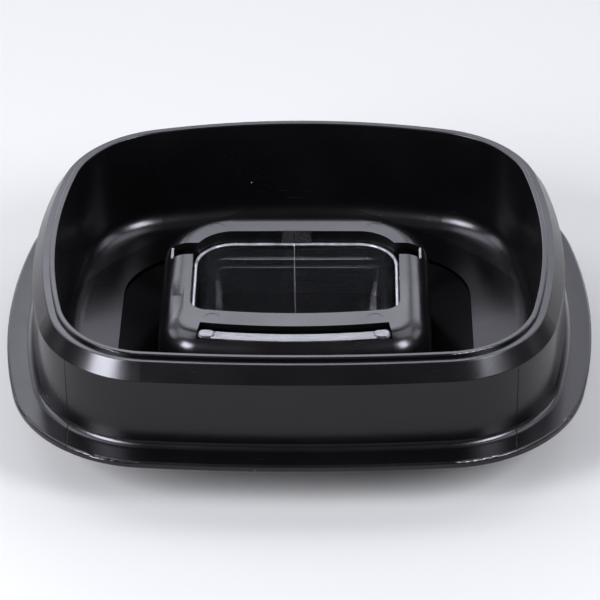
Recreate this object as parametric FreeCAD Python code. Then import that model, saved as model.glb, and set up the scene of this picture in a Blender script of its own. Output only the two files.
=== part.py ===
"""Lid of a commercial food container, shown skirt side up, with its clear filler cap.

The lid is a flanged collar, an inner tub with a hollow boss in its middle, and a clear cap that is
pushed up into the boss from below.  Millimetres, +Z up, origin at the middle of the cap's rest face.
"""
import FreeCAD, Part
import math
import os

# ---------------------------------------------------------------- driving dimensions
# Plan of the lid, measured along the inner edge of the rim.
RIM_HALF_WIDTH = 94.0
RIM_HALF_DEPTH = 80.8
RIM_FRONT_BOW = 696.0        # radius of the gently bowed front
RIM_BACK_BOW = 254.0         # the back is bowed more
RIM_SIDE_BOW = 219.0
RIM_SIDE_Y = -2.2            # the sides are widest a little forward of the middle
RIM_FRONT_CORNER = 35.9
RIM_BACK_CORNER = 41.1

# Levels above the cap's rest face.
CAP_PLATE = 2.5
CAP_GAP = 0.5
DOME_BOTTOM = CAP_PLATE + CAP_GAP
FLANGE_BOTTOM = 23.5
FLANGE_THICKNESS = 3.0
FLANGE_TOP = FLANGE_BOTTOM + FLANGE_THICKNESS
FLOOR_TOP = 19.5             # the floor at the foot of the wall; it falls towards the middle
RIM_TOP = 62.4
BOSS_TOP = 44.3
WALL = 2.5
EDGE_SMALL = 0.5             # roundings of the moulded edges
EDGE = 0.8
EDGE_LARGE = 1.0

# Collar, as offsets outwards from the rim's inner edge.
FLANGE_OFFSET = 20.5
SKIRT_BASE_OFFSET = 10.2
SKIRT_TOP_OFFSET = 8.9
LEDGE_OFFSET = 4.9
SKIRT_FOOT_FILLET = 2.6
SKIRT_TOP = 54.8             # where the chamfer starts
LEDGE_TOP = 61.0
LEDGE_UNDERCUT = 1.5
LIP_THICKNESS = 2.1

# Tub.
TUB_FOOT_OFFSET = 1.0        # outer face of the tub's wall at its foot
TUB_DRAFT = 1.5              # how far the inner wall leans in by the floor
FLOOR_FILLET = 8.0
FLOOR_SLOPE = math.tan(math.radians(9.5))
FLOOR_REACH = 34.5           # the sloping floor is made this wide, then the moat is cut from it
MOAT_Y = -2.3
MOAT_HALF_WIDTH = 70.0
MOAT_HALF_DEPTH = 56.0
MOAT_CORNER = 29.0
MOAT_TOP = 14.0              # foot of the small step from the floor down to the moat
MOAT_SLOPE = math.tan(math.radians(20.0))
MOAT_REACH = 20.0            # the moat falls inwards over this width, then the boss is cut from it

# Boss in the middle of the tub.
BOSS_X = -1.4                # the boss stands a little left of the lid's middle
BOSS_Y = -2.9
BOSS_HALF_WIDTH = 52.9
BOSS_HALF_DEPTH = 48.2
BOSS_FRONT_BOW = 251.0
BOSS_STRAIGHT = 3000.0       # back and sides are all but straight
BOSS_FRONT_CORNER = 17.5
BOSS_BACK_CORNER = 28.0
BOSS_DRAFT = 0.3
BOSS_FILLET = 9.6
BOSS_RING = 10.6             # width of the boss's top that is made with its outer wall
BOSS_LAP = 1.2               # how far the moat runs into the boss's wall
OPENING_Y = 0.0
OPENING_HALF_WIDTH = 40.7
OPENING_HALF_DEPTH = 28.6
OPENING_FRONT_BOW = 236.0
OPENING_FRONT_CORNER = 7.0
OPENING_BACK_CORNER = 16.0
OPENING_DRAFT = 0.3
STOP_TOP = 44.2              # the wedge-shaped stop above the cup's rear rim
STOP_BOTTOM = 39.6
STOP_TOP_WIDTH = 9.5
STOP_BOTTOM_WIDTH = 12.6
STOP_REACH = 1.6

# Slots in the boss's top, and the cap's tongues that stand in them.
FRONT_SLOT_HALF_WIDTH = 37.5
FRONT_SLOT_BACK_OFFSET = -13.9
FRONT_SLOT_WALL_OFFSET = -4.9
FRONT_SLOT_BOTTOM = 30.0
REAR_SLOT = ((36.4, 12.1), (49.9, 12.1), (49.9, 20.2), (36.4, 20.2))
REAR_SLOT_BOTTOM = 33.0
TONGUE_CLEARANCE = 0.3
FRONT_TONGUE_THICKNESS = 4.6
FRONT_TONGUE_SETBACK = 0.3   # the thin part stands a little behind the posts' front
FRONT_TONGUE_TOP = 43.2
POST_LENGTH = 6.6            # the front tongue ends in two thicker posts
POST_THICKNESS = 5.8
POST_TOP = 43.6
POST_SIDE_FILLET = 2.2
POST_TOP_FILLET = 0.9
POST_LAP = 2.6               # how far the thin part of the tongue runs into each post
REAR_TONGUE = ((48.6, 12.6), (49.5, 12.6), (49.5, 19.7), (48.6, 19.7))
REAR_TONGUE_TOP = 42.0

# Filler cap.
CUP_CLEARANCE = 0.3
CUP_WALL = 1.3
CUP_TOP = 39.0
CUP_RIM_FILLET = 0.5
CUP_DRAFT = 0.6
CUP_FLOOR_FILLET = 2.0
CAP_OVERLAP = 4.0            # how far the plate reaches past the boss
CAP_BRIM_RING = 9.0
CAP_CORE_RING = 6.0
GRIP_LEVELS = ((37.2, 32.3, 60.0, 54.0, 2.2), (32.3, 27.8, 54.0, 54.0, 1.8))

# Round marks of the mould's ejector pins: x and y.
MARK_DEPTH = 0.12
BOSS_MARK_RADIUS = 3.0
BOSS_MARKS = [(x, y) for x in (-33.1, 29.5) for y in (-31.6, 31.2)]
FLOOR_MARK_RADIUS = 5.7
FLOOR_MARKS = [(-77.8, 24.2), (73.5, 22.0)]


# ---------------------------------------------------------------- outlines made of tangent arcs
def tangent_centre(first, first_radius, second, second_radius, radius, towards):
    """Centre of the arc of the given radius that touches two larger arcs from inside."""
    reach_1, reach_2 = first_radius - radius, second_radius - radius
    span = second.sub(first)
    distance = span.Length
    along = (reach_1 ** 2 - reach_2 ** 2 + distance ** 2) / (2 * distance)
    across = math.sqrt(reach_1 ** 2 - along ** 2)
    unit = FreeCAD.Vector(span).normalize()
    side = FreeCAD.Vector(-unit.y, unit.x, 0)
    middle = first + unit * along
    return max((middle + side * across, middle - side * across), key=lambda point: point.dot(towards))


def direction(centre, origin):
    return math.atan2(centre.y - origin.y, centre.x - origin.x)


def rounded_outline(half_width, half_depth, front_bow, back_bow, side_bow, side_y,
                    front_corner, back_corner, middle=(0.0, 0.0)):
    """Eight tangent arcs, anticlockwise, each (centre, radius, start angle, end angle)."""
    front = FreeCAD.Vector(0, front_bow - half_depth, 0)
    back = FreeCAD.Vector(0, half_depth - back_bow, 0)
    side = FreeCAD.Vector(half_width - side_bow, side_y, 0)
    corner_f = tangent_centre(front, front_bow, side, side_bow, front_corner, FreeCAD.Vector(1, -1, 0))
    corner_b = tangent_centre(back, back_bow, side, side_bow, back_corner, FreeCAD.Vector(1, 1, 0))
    half = [
        (front, front_bow, -math.pi / 2, direction(corner_f, front)),
        (corner_f, front_corner, direction(corner_f, front), direction(corner_f, side)),
        (side, side_bow, direction(corner_f, side), direction(corner_b, side)),
        (corner_b, back_corner, direction(corner_b, side), direction(corner_b, back)),
        (back, back_bow, direction(corner_b, back), math.pi / 2),
    ]
    mirrored = [(FreeCAD.Vector(-c.x, c.y, 0), radius, math.pi - end, math.pi - start)
                for c, radius, start, end in reversed(half)]
    shift = FreeCAD.Vector(middle[0], middle[1], 0)
    arcs = half[1:] + mirrored[1:-1]
    # the back and front arcs each run across the middle as one piece
    arcs[3] = (back, back_bow, half[4][2], math.pi - half[4][2])
    arcs.append((front, front_bow, -math.pi - half[0][3], half[0][3]))
    return [(c + shift, radius, start, end) for c, radius, start, end in arcs]


def plan_face(outline, offset):
    """Flat face inside the outline moved outwards by offset."""
    edges = []
    for centre, radius, start, end in outline:
        points = [centre + FreeCAD.Vector(math.cos(a), math.sin(a), 0) * (radius + offset)
                  for a in (start, (start + end) / 2, end)]
        edges.append(Part.Arc(*points).toShape())
    return Part.Face(Part.Wire(Part.__sortEdges__(edges)))


def plate(outline, offset, bottom, top, hole=None):
    """Flat plate between two levels, with the outline of another plate as its hole."""
    face = plan_face(outline, offset)
    if hole:
        face = face.cut(plan_face(*hole))
    face.translate(FreeCAD.Vector(0, 0, bottom))
    return face.extrude(FreeCAD.Vector(0, 0, top - bottom))


# ---------------------------------------------------------------- sections carried round an outline
def section_face(points, radius):
    """Closed section from (offset, level) or (offset, level, fillet) corners, in the XZ plane."""
    corners = [(FreeCAD.Vector(radius + p[0], 0, p[1]), p[2] if len(p) > 2 else 0.0) for p in points]
    ends, arcs = [], []
    for i, (corner, fillet) in enumerate(corners):
        before = (corners[i - 1][0] - corner).normalize()
        after = (corners[(i + 1) % len(corners)][0] - corner).normalize()
        if not fillet:
            ends.append((corner, corner))
            continue
        half_angle = before.getAngle(after) / 2
        reach = fillet / math.tan(half_angle)
        bisector = (before + after).normalize()
        centre = corner + bisector * (fillet / math.sin(half_angle))
        ends.append((corner + before * reach, corner + after * reach))
        arcs.append(Part.Arc(ends[-1][0], centre - bisector * fillet, ends[-1][1]).toShape())
    lines = [Part.makeLine(ends[i][1], ends[(i + 1) % len(ends)][0]) for i in range(len(ends))]
    return Part.Face(Part.Wire(Part.__sortEdges__(lines + arcs)))


def swing(points, centre, radius, start, end):
    """Solid swept by a section about one arc's centre."""
    face = section_face(points, radius)
    face.rotate(FreeCAD.Vector(0, 0, 0), FreeCAD.Vector(0, 0, 1), math.degrees(start))
    face.translate(centre)
    return face.revolve(centre, FreeCAD.Vector(0, 0, 1), math.degrees(end - start))


def ring(outline, points):
    """Solid swept by a section all the way round an outline."""
    return join([swing(points, *arc) for arc in outline])


def front_bar(outline, inner, outer, bottom, top, left, right):
    """Curved bar that follows the outline's front arc from left to right of its middle."""
    centre, radius, _, _ = outline[-1]
    start, end = [math.asin(x / (radius + outer)) - math.pi / 2 for x in (left, right)]
    points = [(inner, bottom), (outer, bottom), (outer, top), (inner, top)]
    return swing(points, centre, radius, start, end)


def prism(corners, side, bottom, top):
    """Upright prism from plan corners about the boss's middle; side -1 mirrors it to the left."""
    points = [FreeCAD.Vector(BOSS_X + side * x, y, bottom) for x, y in corners]
    face = Part.Face(Part.makePolygon(points + points[:1]))
    return face.extrude(FreeCAD.Vector(0, 0, top - bottom))


def join(shapes):
    return shapes[0].fuse(shapes[1:]).removeSplitter()


def wedge(wall_y):
    """Stop on the opening's back wall, flush at its top and standing forward at its foot."""
    pad = wall_pad(STOP_TOP, STOP_BOTTOM, STOP_TOP_WIDTH, STOP_BOTTOM_WIDTH, STOP_REACH + WALL / 2,
                   wall_y + WALL / 2)
    slope = [FreeCAD.Vector(-RIM_HALF_WIDTH, y, z) for y, z in (
        (wall_y, STOP_TOP), (wall_y - STOP_REACH, STOP_BOTTOM), (wall_y - STOP_REACH, STOP_TOP))]
    cutter = Part.Face(Part.makePolygon(slope + slope[:1]))
    return pad.cut(cutter.extrude(FreeCAD.Vector(2 * RIM_HALF_WIDTH, 0, 0)))


def wall_pad(top, bottom, top_width, bottom_width, thickness, wall_y):
    """Trapezoid pad that stands forward of a wall across the lid's depth."""
    corners = [(-bottom_width / 2, bottom), (bottom_width / 2, bottom),
               (top_width / 2, top), (-top_width / 2, top)]
    points = [FreeCAD.Vector(BOSS_X + x, wall_y, z) for x, z in corners]
    face = Part.Face(Part.makePolygon(points + points[:1]))
    return face.extrude(FreeCAD.Vector(0, -thickness, 0))


def floor_level(offset):
    """Top of the tub's sloping floor at an offset from the rim's inner edge."""
    return FLOOR_TOP + (offset + TUB_DRAFT) * FLOOR_SLOPE


def tub_outer_offset(level):
    """Outer face of the tub's wall, which the collar's ledge meets."""
    bottom = FLOOR_TOP - WALL
    lean = (LIP_THICKNESS - TUB_FOOT_OFFSET) * (level - bottom) / (RIM_TOP - bottom)
    return TUB_FOOT_OFFSET + lean


RIM = rounded_outline(RIM_HALF_WIDTH, RIM_HALF_DEPTH, RIM_FRONT_BOW, RIM_BACK_BOW, RIM_SIDE_BOW,
                      RIM_SIDE_Y, RIM_FRONT_CORNER, RIM_BACK_CORNER)
MOAT = rounded_outline(MOAT_HALF_WIDTH, MOAT_HALF_DEPTH, BOSS_STRAIGHT, BOSS_STRAIGHT, BOSS_STRAIGHT,
                       0.0, MOAT_CORNER, MOAT_CORNER, (BOSS_X, MOAT_Y))
OPENING = rounded_outline(OPENING_HALF_WIDTH, OPENING_HALF_DEPTH, OPENING_FRONT_BOW, BOSS_STRAIGHT,
                          BOSS_STRAIGHT, 0.0, OPENING_FRONT_CORNER, OPENING_BACK_CORNER,
                          (BOSS_X, OPENING_Y))
BOSS = rounded_outline(BOSS_HALF_WIDTH, BOSS_HALF_DEPTH, BOSS_FRONT_BOW, BOSS_STRAIGHT, BOSS_STRAIGHT,
                       0.0, BOSS_FRONT_CORNER, BOSS_BACK_CORNER, (BOSS_X, BOSS_Y))


# ---------------------------------------------------------------- pieces
def skirt_collar():
    """Flange, outer skirt wall, chamfer and the ledge that holds the tub's rim."""
    web = LEDGE_TOP - WALL
    return ring(RIM, [
        (SKIRT_BASE_OFFSET - WALL, FLANGE_BOTTOM, EDGE_SMALL),
        (FLANGE_OFFSET, FLANGE_BOTTOM, EDGE),
        (FLANGE_OFFSET, FLANGE_TOP, EDGE_LARGE),
        (SKIRT_BASE_OFFSET, FLANGE_TOP, SKIRT_FOOT_FILLET),
        (SKIRT_TOP_OFFSET, SKIRT_TOP, EDGE),
        (LEDGE_OFFSET, LEDGE_TOP, EDGE_SMALL),
        (tub_outer_offset(LEDGE_TOP), LEDGE_TOP),
        (tub_outer_offset(web), web),
        (LEDGE_OFFSET - LEDGE_UNDERCUT, web, EDGE_LARGE),
        (SKIRT_TOP_OFFSET - WALL, SKIRT_TOP - EDGE, EDGE_LARGE),
    ])


def tub():
    """Inner pan with its moat, and the hollow boss with the opening for the cap."""
    floor_bottom = FLOOR_TOP - WALL
    floor_end = floor_level(-FLOOR_REACH)
    pan = ring(RIM, [
        (-FLOOR_REACH, floor_end - WALL),
        (tub_outer_offset(floor_bottom), floor_bottom, FLOOR_FILLET + WALL),
        (LIP_THICKNESS, RIM_TOP, EDGE_SMALL),
        (0.0, RIM_TOP, EDGE_SMALL),
        (-TUB_DRAFT, FLOOR_TOP, FLOOR_FILLET),
        (-FLOOR_REACH, floor_end),
    ]).cut(plate(MOAT, 0.0, DOME_BOTTOM, FLOOR_TOP))
    moat_end = MOAT_TOP - MOAT_REACH * MOAT_SLOPE
    moat = ring(MOAT, [
        (WALL, MOAT_TOP),
        (0.0, MOAT_TOP),
        (-MOAT_REACH, moat_end),
        (-MOAT_REACH, moat_end - WALL),
        (WALL, MOAT_TOP + WALL * MOAT_SLOPE - WALL),
    ]).cut(plate(BOSS, -BOSS_LAP, DOME_BOTTOM, BOSS_TOP))
    web = BOSS_TOP - WALL
    boss = ring(BOSS, [
        (0.0, DOME_BOTTOM),
        (-BOSS_DRAFT, BOSS_TOP, BOSS_FILLET),
        (-BOSS_RING, BOSS_TOP),
        (-BOSS_RING, web),
        (-BOSS_DRAFT - WALL, web, BOSS_FILLET - WALL),
        (-WALL, DOME_BOTTOM),
    ])
    boss_top = plate(BOSS, -BOSS_RING, web, BOSS_TOP)
    boss = join([boss, boss_top]).cut(plate(OPENING, 0.0, DOME_BOTTOM, RIM_TOP))
    chimney_top = web + WALL / 2
    chimney = ring(OPENING, [
        (WALL, chimney_top),
        (0.0, chimney_top),
        (OPENING_DRAFT, DOME_BOTTOM),
        (OPENING_DRAFT + WALL, DOME_BOTTOM),
    ])
    stop = wedge(OPENING_Y + OPENING_HALF_DEPTH)
    body = join([pan, moat, boss, chimney, stop])
    return body.cut(tub_slots() + ejector_marks())


def tub_slots():
    """Tools that cut the boss's top for the tongues: one wide slot in front, two at the rear."""
    front = front_bar(BOSS, FRONT_SLOT_BACK_OFFSET, FRONT_SLOT_WALL_OFFSET, FRONT_SLOT_BOTTOM,
                      RIM_TOP, -FRONT_SLOT_HALF_WIDTH, FRONT_SLOT_HALF_WIDTH)
    return [front] + [prism(REAR_SLOT, side, REAR_SLOT_BOTTOM, RIM_TOP) for side in (-1, 1)]


def ejector_marks():
    """Shallow discs to cut, square to the boss's flat top and to the sloping floor."""
    marks = [Part.makeCylinder(BOSS_MARK_RADIUS, WALL, FreeCAD.Vector(x, y, BOSS_TOP - MARK_DEPTH))
             for x, y in BOSS_MARKS]
    for x, y in FLOOR_MARKS:
        side = math.copysign(1.0, x)
        inwards = FreeCAD.Vector(side * (RIM_HALF_WIDTH - RIM_SIDE_BOW) - x, RIM_SIDE_Y - y, 0)
        level = floor_level(inwards.Length - RIM_SIDE_BOW)
        axis = (inwards.normalize() * FLOOR_SLOPE + FreeCAD.Vector(0, 0, 1)).normalize()
        base = FreeCAD.Vector(x, y, level) - axis * MARK_DEPTH
        marks.append(Part.makeCylinder(FLOOR_MARK_RADIUS, WALL, base, axis))
    return marks


def rear_tongue(side):
    """Thin upright tongue at the outer end of one rear slot."""
    return prism(REAR_TONGUE, side, CAP_PLATE, REAR_TONGUE_TOP)


def front_tongue():
    """Wide curved tongue in the front slot, with a thicker rounded post at each end."""
    outer = FRONT_SLOT_WALL_OFFSET - TONGUE_CLEARANCE
    reach = FRONT_SLOT_HALF_WIDTH - TONGUE_CLEARANCE
    front = outer - FRONT_TONGUE_SETBACK
    blade = front_bar(BOSS, front - FRONT_TONGUE_THICKNESS, front, CAP_PLATE, FRONT_TONGUE_TOP,
                      POST_LAP - reach, reach - POST_LAP)
    posts = []
    for left, right in ((-reach, POST_LENGTH - reach), (reach - POST_LENGTH, reach)):
        post = front_bar(BOSS, outer - POST_THICKNESS, outer, CAP_PLATE, POST_TOP, left, right)
        upright = [e for e in post.Edges if e.BoundBox.ZLength > POST_TOP / 2]
        post = post.makeFillet(POST_SIDE_FILLET, upright)
        top = [e for e in post.Edges if e.BoundBox.ZMin > POST_TOP - POST_TOP_FILLET]
        posts.append(post.makeFillet(POST_TOP_FILLET, top))
    return join([blade] + posts)


def filler_cap():
    """Clear cup on a plate, with three tongues and a grip on the cup's back wall."""
    outer_top = -CUP_CLEARANCE
    outer_bottom = OPENING_DRAFT - CUP_CLEARANCE
    cup = ring(OPENING, [
        (-CAP_CORE_RING, 0.0),
        (WALL, 0.0),
        (WALL, CAP_PLATE),
        (outer_bottom, CAP_PLATE),
        (outer_top, CUP_TOP, CUP_RIM_FILLET),
        (outer_top - CUP_WALL, CUP_TOP, CUP_RIM_FILLET),
        (outer_bottom - CUP_WALL - CUP_DRAFT, CAP_PLATE, CUP_FLOOR_FILLET),
        (-CAP_CORE_RING, CAP_PLATE),
    ])
    core = plate(OPENING, -CAP_CORE_RING, 0.0, CAP_PLATE)
    brim = ring(BOSS, [
        (-CAP_BRIM_RING, 0.0),
        (CAP_OVERLAP, 0.0, EDGE),
        (CAP_OVERLAP, CAP_PLATE, EDGE),
        (-CAP_BRIM_RING, CAP_PLATE),
    ])
    rim_plate = plate(BOSS, -CAP_BRIM_RING, 0.0, CAP_PLATE, (OPENING, WALL))
    inner_wall = OPENING_Y + OPENING_HALF_DEPTH + outer_top - CUP_WALL
    inside = plate(OPENING, outer_top - CUP_WALL / 2, CAP_PLATE, CUP_TOP)
    pads = [wall_pad(*level, inner_wall + CUP_WALL).common(inside) for level in GRIP_LEVELS]
    tongues = [front_tongue(), rear_tongue(-1), rear_tongue(1)]
    return join([cup, core, brim, rim_plate] + tongues + pads)


PIECES = {"skirt_collar": skirt_collar, "tub": tub, "filler_cap": filler_cap}

os.makedirs("parts", exist_ok=True)
for name, make in PIECES.items():
    shape = make()
    if not shape.isValid() or len(shape.Solids) != 1:
        raise ValueError(f"{name}: valid {shape.isValid()}, solids {len(shape.Solids)}")
    shape.Solids[0].exportStep(f"parts/{name}.step")
    box = shape.BoundBox
    print(name, "volume", round(shape.Volume / 1000, 1), "cm3, box",
          [round(v, 2) for v in (box.XMin, box.XMax, box.YMin, box.YMax, box.ZMin, box.ZMax)])
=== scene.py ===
"""Glossy black container lid with its clear filler cap: finish, light and camera."""
import math

import bpy
from mathutils import Matrix, Vector

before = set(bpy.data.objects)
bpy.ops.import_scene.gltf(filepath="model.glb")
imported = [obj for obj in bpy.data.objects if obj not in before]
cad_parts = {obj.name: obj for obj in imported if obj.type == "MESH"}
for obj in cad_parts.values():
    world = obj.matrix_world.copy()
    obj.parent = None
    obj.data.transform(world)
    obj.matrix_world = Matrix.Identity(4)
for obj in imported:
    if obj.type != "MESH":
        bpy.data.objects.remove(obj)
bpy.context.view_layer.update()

# ---------------------------------------------------------------- camera
CAMERA_AZIMUTH = math.radians(1.07)
CAMERA_ELEVATION = math.radians(34.8)
CAMERA_ROLL = math.radians(-0.62)
CAMERA_DISTANCE = 1.201
CAMERA_TARGET = Vector((0.0002, 0.0, 0.0306))
CAMERA_LENS = 182.9


def make_camera():
    az, el, roll = CAMERA_AZIMUTH, CAMERA_ELEVATION, CAMERA_ROLL
    back = Vector((math.sin(az) * math.cos(el), -math.cos(az) * math.cos(el), math.sin(el)))
    right = Vector((math.cos(az), math.sin(az), 0.0))
    up = back.cross(right)
    x_axis = right * math.cos(roll) + up * math.sin(roll)
    y_axis = up * math.cos(roll) - right * math.sin(roll)
    camera = bpy.data.objects.new("camera", bpy.data.cameras.new("camera"))
    camera.data.lens = CAMERA_LENS
    camera.data.sensor_width = 36.0
    camera.data.clip_end = 20.0
    turn = Matrix((x_axis, y_axis, back)).transposed().to_4x4()
    camera.matrix_world = Matrix.Translation(CAMERA_TARGET + back * CAMERA_DISTANCE) @ turn
    bpy.context.scene.collection.objects.link(camera)
    bpy.context.scene.camera = camera


# ---------------------------------------------------------------- shader graphs
class Graph:
    """A material whose patterns are placed by the lid's own coordinates, in metres."""

    def __init__(self, name):
        self.material = bpy.data.materials.new(name)
        self.material.use_nodes = True
        self.tree = self.material.node_tree
        self.shader = self.tree.nodes["Principled BSDF"]
        self.place = self.tree.nodes.new("ShaderNodeTexCoord").outputs["Object"]
        axes = self.tree.nodes.new("ShaderNodeSeparateXYZ")
        self.put(axes.inputs[0], self.place)
        self.x, self.y, self.z = axes.outputs

    def put(self, socket, value):
        if isinstance(value, bpy.types.NodeSocket):
            self.tree.links.new(value, socket)
        else:
            socket.default_value = value

    def set(self, **values):
        """Shader inputs by name, with _ for a space."""
        for name, value in values.items():
            self.put(self.shader.inputs[name.replace("_", " ")], value)

    def math(self, operation, *values, clamp=False):
        node = self.tree.nodes.new("ShaderNodeMath")
        node.operation = operation
        node.use_clamp = clamp
        for socket, value in zip(node.inputs, values):
            self.put(socket, value)
        return node.outputs[0]

    def product(self, first, *others):
        for other in others:
            first = self.math("MULTIPLY", first, other)
        return first

    def stretched(self, turn, scale):
        node = self.tree.nodes.new("ShaderNodeMapping")
        self.put(node.inputs["Vector"], self.place)
        node.inputs["Rotation"].default_value = turn
        node.inputs["Scale"].default_value = scale
        return node.outputs[0]

    def noise(self, scale, detail=2.0, vector=None):
        node = self.tree.nodes.new("ShaderNodeTexNoise")
        self.put(node.inputs["Vector"], vector or self.place)
        node.inputs["Scale"].default_value = scale
        node.inputs["Detail"].default_value = detail
        return node.outputs["Fac"]

    def remap(self, value, low, high, out_low=0.0, out_high=1.0, smooth=False):
        node = self.tree.nodes.new("ShaderNodeMapRange")
        node.interpolation_type = "SMOOTHSTEP" if smooth else "LINEAR"
        for socket, number in zip(node.inputs, (value, low, high, out_low, out_high)):
            self.put(socket, number)
        return node.outputs[0]

    def between(self, value, low, high, edge):
        """1 where value lies from low to high, with soft edges."""
        return self.product(self.remap(value, low - edge, low, smooth=True),
                            self.remap(value, high, high + edge, 1.0, 0.0, smooth=True))

    def blend(self, amount, first, second):
        """Colour from first to second."""
        node = self.tree.nodes.new("ShaderNodeMix")
        node.data_type = "RGBA"
        for name, value in (("Factor_Float", amount), ("A_Color", first), ("B_Color", second)):
            self.put(next(s for s in node.inputs if s.identifier == name), value)
        return next(s for s in node.outputs if s.identifier == "Result_Color")

    def specks(self, scale, share, radius):
        """Small round spots, one in a share of the cells of a grid of that scale."""
        node = self.tree.nodes.new("ShaderNodeTexVoronoi")
        self.put(node.inputs["Vector"], self.place)
        node.inputs["Scale"].default_value = scale
        chance = self.tree.nodes.new("ShaderNodeSeparateColor")
        self.put(chance.inputs[0], node.outputs["Color"])
        picked = self.math("LESS_THAN", chance.outputs[0], share)
        size = self.math("MULTIPLY", chance.outputs[1], radius * scale)
        return self.product(picked, self.math("LESS_THAN", node.outputs["Distance"], size))

    def bump(self, height, distance, normal=None):
        node = self.tree.nodes.new("ShaderNodeBump")
        self.put(node.inputs["Height"], height)
        node.inputs["Distance"].default_value = distance
        if normal:
            self.put(node.inputs["Normal"], normal)
        return node.outputs[0]


BLACK_DEEP = (0.0010, 0.0010, 0.0011, 1.0)
BLACK_WORN = (0.0020, 0.0020, 0.0022, 1.0)
BLACK_IOR = 1.4
DUST = (0.16, 0.16, 0.17, 1.0)
STOP_GREY = (0.009, 0.009, 0.0092, 1.0)
SEAM_X = (-0.0858, 0.0819)       # where the skirt's mould halves meet
SEAM_WIDTH = 0.00026
SKIRT_TOP = 0.0548
INSIDE = (0.093, 0.080)          # half width and half depth of the space inside the skirt
PAN_LEVEL = 0.026
WELL_LEVEL = 0.0145
STOP_BOX = ((-0.0070, 0.0042), (0.0262, 0.0287), (0.0398, 0.0443))
STOP_EDGE = 0.0010
SHINE = 0.5                      # specular level of the outside
# Specular level taken off: in the pan and the well as painted shade for these recesses, and on the
# mould seams.
PAN_PAINTED_SHADE, WELL_PAINTED_SHADE, SEAM_DIM = 0.24, 0.23, 0.3
ROUGH_RANGE = (0.215, 0.265)
FLOW_DEPTH, SKIN_DEPTH, SEAM_DEPTH = 0.00018, 0.000004, 0.00009


def scratches(graph):
    """Fine handling lines in three directions, thinned out by a broad mask."""
    lines = None
    for turn, share in ((0.25, 0.70), (-0.6, 0.72), (1.35, 0.72)):
        fine = graph.noise(1.0, 1.0, graph.stretched((0.0, 0.0, turn), (60.0, 3600.0, 1500.0)))
        line = graph.remap(fine, share, share + 0.04)
        lines = graph.math("MAXIMUM", lines, line) if lines else line
    return graph.product(lines, graph.remap(graph.noise(45.0), 0.50, 0.64, smooth=True))


def black_plastic():
    graph = Graph("black_plastic")
    worn = graph.remap(graph.noise(38.0, 4.0), 0.40, 0.75)
    marks = scratches(graph)
    dust = graph.specks(190.0, 0.10, 0.00026)
    seams = None
    for x in SEAM_X:
        line = graph.between(graph.x, x - SEAM_WIDTH / 2, x + SEAM_WIDTH / 2, SEAM_WIDTH / 2)
        seams = graph.math("ADD", seams, line) if seams else line
    seams = graph.product(seams, graph.math("LESS_THAN", graph.y, -0.05),
                          graph.math("LESS_THAN", graph.z, SKIRT_TOP))
    stop = None
    for axis, (low, high) in zip((graph.x, graph.y, graph.z), STOP_BOX):
        side = graph.between(axis, low, high, STOP_EDGE)
        stop = graph.product(stop, side) if stop else side
    stop = graph.product(stop, graph.remap(graph.noise(1500.0, 3.0), 0.25, 0.8))
    colour = graph.blend(graph.product(worn, 0.6), BLACK_DEEP, BLACK_WORN)
    colour = graph.blend(graph.product(marks, 0.012), colour, DUST)
    colour = graph.blend(stop, colour, STOP_GREY)
    colour = graph.blend(dust, colour, DUST)
    rough = graph.remap(graph.noise(55.0, 4.0), 0.3, 0.7, *ROUGH_RANGE)
    rough = graph.math("ADD", rough, graph.product(marks, 0.07))
    dull = graph.product(graph.math("MAXIMUM", stop, dust), 0.35)
    rough = graph.math("ADD", rough, dull, clamp=True)
    reach = graph.math("ADD", graph.math("POWER", graph.math("DIVIDE", graph.x, INSIDE[0]), 2.0),
                       graph.math("POWER", graph.math("DIVIDE", graph.y, INSIDE[1]), 2.0))
    # Painted shade: the pan inside the skirt gets a lower specular level than the outside, and the
    # well below it lower still.
    pan_shade = graph.product(graph.remap(graph.z, PAN_LEVEL - 0.006, PAN_LEVEL, 1.0, 0.0, smooth=True),
                        graph.math("LESS_THAN", reach, 1.0))
    well_shade = graph.math("LESS_THAN", graph.z, WELL_LEVEL)
    shine = graph.math("SUBTRACT", SHINE, graph.product(pan_shade, PAN_PAINTED_SHADE))
    shine = graph.math("SUBTRACT", shine, graph.product(pan_shade, well_shade, WELL_PAINTED_SHADE))
    shine = graph.math("SUBTRACT", shine, graph.product(seams, SEAM_DIM), clamp=True)
    flow = graph.bump(graph.noise(32.0, 1.0), FLOW_DEPTH)
    skin = graph.bump(graph.noise(2400.0, 2.0), SKIN_DEPTH, flow)
    groove = graph.bump(graph.math("MULTIPLY", seams, -1.0), SEAM_DEPTH, skin)
    graph.set(Base_Color=colour, Roughness=rough, IOR=BLACK_IOR, Specular_IOR_Level=shine,
              Normal=groove)
    return graph.material


CLEAR = (0.83, 0.85, 0.88, 1.0)
# White of the frosted rim and tongue tips, partly a painted edge highlight.
FROST_AND_HIGHLIGHT = (0.93, 0.94, 0.96, 1.0)
CLEAR_IOR = 1.52
CUP_TOP = 0.0390
TONGUE_LEVEL = 0.0419
FLOW_LINE_X = -0.0023
# Levels and strengths of the painted highlight lines along the grip ledge edges.
GRIP_HIGHLIGHT_LINES = ((0.0324, 0.45), (0.0281, 0.25))
GRIP_X = (-0.0310, 0.0275)
LINE_HALF = 0.00008              # half width of a flow line or a grip edge
BACK_WALL_Y = 0.024
RIPPLE_DEPTH = LINE_DEPTH = 0.00012


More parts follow.
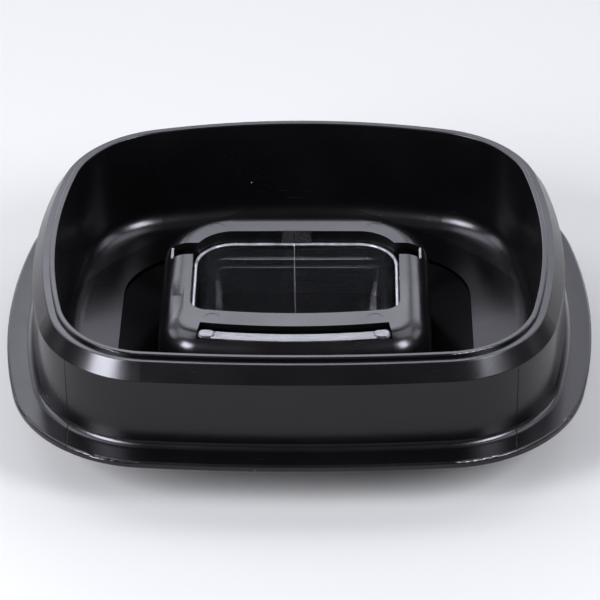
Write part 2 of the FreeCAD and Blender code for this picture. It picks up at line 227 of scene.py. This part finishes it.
def clear_plastic():
    graph = Graph("clear_plastic")
    # The rim and the tongue tips get a milky white frost: partly a frosted finish, partly a painted
    # highlight for their bright edges.
    rim = graph.between(graph.z, CUP_TOP - 0.0004, CUP_TOP + 0.0004, 0.0003)
    tip_frost_and_highlight = graph.remap(graph.z, TONGUE_LEVEL, TONGUE_LEVEL + 0.0014, smooth=True)
    tip_frost_and_highlight = graph.product(tip_frost_and_highlight, graph.remap(graph.noise(150.0, 4.0), 0.35, 0.65, 0.0, 0.10))
    milky_rim_and_highlight = graph.product(rim, graph.remap(graph.noise(260.0), 0.3, 0.7, 0.2, 0.6))
    frost_and_highlight = graph.math("MAXIMUM", milky_rim_and_highlight, tip_frost_and_highlight)
    line = graph.between(graph.x, FLOW_LINE_X - LINE_HALF, FLOW_LINE_X + LINE_HALF, 0.00006)
    line = graph.product(line, graph.math("GREATER_THAN", graph.y, BACK_WALL_Y), 0.35)
    # Painted highlight along the grip ledge edges: less transmission and a small bump ridge; the
    # ledges themselves are geometry.
    grip_highlight = None
    for level, strength in GRIP_HIGHLIGHT_LINES:
        edge = graph.between(graph.z, level - LINE_HALF, level + LINE_HALF, LINE_HALF)
        edge = graph.product(edge, strength)
        grip_highlight = graph.math("ADD", grip_highlight, edge) if grip_highlight else edge
    grip_highlight = graph.product(grip_highlight, graph.between(graph.x, GRIP_X[0], GRIP_X[1], 0.002),
                         graph.math("GREATER_THAN", graph.y, BACK_WALL_Y))
    line = graph.math("ADD", line, grip_highlight)
    colour = graph.blend(frost_and_highlight, CLEAR, FROST_AND_HIGHLIGHT)
    rough = graph.remap(graph.noise(45.0, 3.0), 0.35, 0.75, 0.035, 0.075)
    rough = graph.math("ADD", rough, graph.product(frost_and_highlight, 0.25), clamp=True)
    clearness = graph.math("SUBTRACT", 1.0, graph.product(frost_and_highlight, 0.45))
    clearness = graph.math("SUBTRACT", clearness, graph.product(line, 0.5))
    ripple = graph.bump(graph.noise(60.0, 2.0), RIPPLE_DEPTH)
    ridge = graph.bump(line, LINE_DEPTH, ripple)
    graph.set(Base_Color=colour, Roughness=rough, IOR=CLEAR_IOR, Transmission_Weight=clearness,
              Normal=ridge)
    return graph.material


black = black_plastic()
clear = clear_plastic()
for name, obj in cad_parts.items():
    for slot in obj.material_slots:
        slot.material = clear if name == "filler_cap" else black


# ---------------------------------------------------------------- studio
LIGHT_AIM = Vector((0.0, 0.0, 0.03))
LIGHT_COLOUR = (0.87, 0.875, 1.0)
ROOM_STRENGTH = 0.12
FLOOR_COLOUR = (0.32, 0.32, 0.298, 1.0)
SOFTBOXES = (
    # name, azimuth, elevation, distance, (width, height), radiance
    ("back_panel", 0, 25, 1.15, (2.5, 1.15), 1.5),
    ("back_glow", -3, 41, 0.62, (0.32, 0.17), 4.6),
    ("left_low", -29, 18, 1.1, (0.36, 0.46), 2.8),
    ("right_low", 29, 18, 1.1, (0.36, 0.46), 2.4),
    ("left_top", -68, 60, 1.0, (0.60, 0.50), 5.0),
    ("right_top", 64, 60, 1.0, (0.60, 0.50), 4.0),
    ("left_wing", -74, 27, 1.1, (0.5, 0.6), 5.2),
    ("right_wing", 76, 27, 1.1, (0.5, 0.55), 4.2),
    ("left_key", -131, 32, 1.1, (0.40, 0.56), 38.0),
    ("right_key", 128, 38, 1.1, (0.34, 0.46), 34.0),
)


def softbox(name, azimuth, elevation, distance, size, radiance):
    """A flat studio light that faces the lid. Azimuth 0 is behind the lid, positive to its right."""
    az, el = math.radians(azimuth), math.radians(elevation)
    away = Vector((math.sin(az) * math.cos(el), math.cos(az) * math.cos(el), math.sin(el)))
    side = Vector((math.cos(az), -math.sin(az), 0.0))
    data = bpy.data.lights.new(name, "AREA")
    data.shape = "RECTANGLE"
    data.size, data.size_y = size
    data.energy = math.pi * size[0] * size[1] * radiance
    data.color = LIGHT_COLOUR
    light = bpy.data.objects.new(name, data)
    turn = Matrix((side, away.cross(side), away)).transposed().to_4x4()
    light.matrix_world = Matrix.Translation(LIGHT_AIM + away * distance) @ turn
    light.visible_camera = False
    bpy.context.scene.collection.objects.link(light)


def studio():
    bpy.ops.mesh.primitive_plane_add(size=8.0, location=(0, 0, 0))
    floor = bpy.context.object
    floor.name = "floor"
    graph = Graph("floor")
    graph.set(Base_Color=FLOOR_COLOUR, Roughness=0.9, Specular_IOR_Level=0.0)
    floor.data.materials.append(graph.material)
    world = bpy.data.worlds.new("studio")
    world.use_nodes = True
    background = world.node_tree.nodes["Background"]
    background.inputs["Color"].default_value = LIGHT_COLOUR + (1.0,)
    background.inputs["Strength"].default_value = ROOM_STRENGTH
    bpy.context.scene.world = world
    for box in SOFTBOXES:
        softbox(*box)
    bpy.context.scene.view_settings.view_transform = "Standard"


make_camera()
studio()
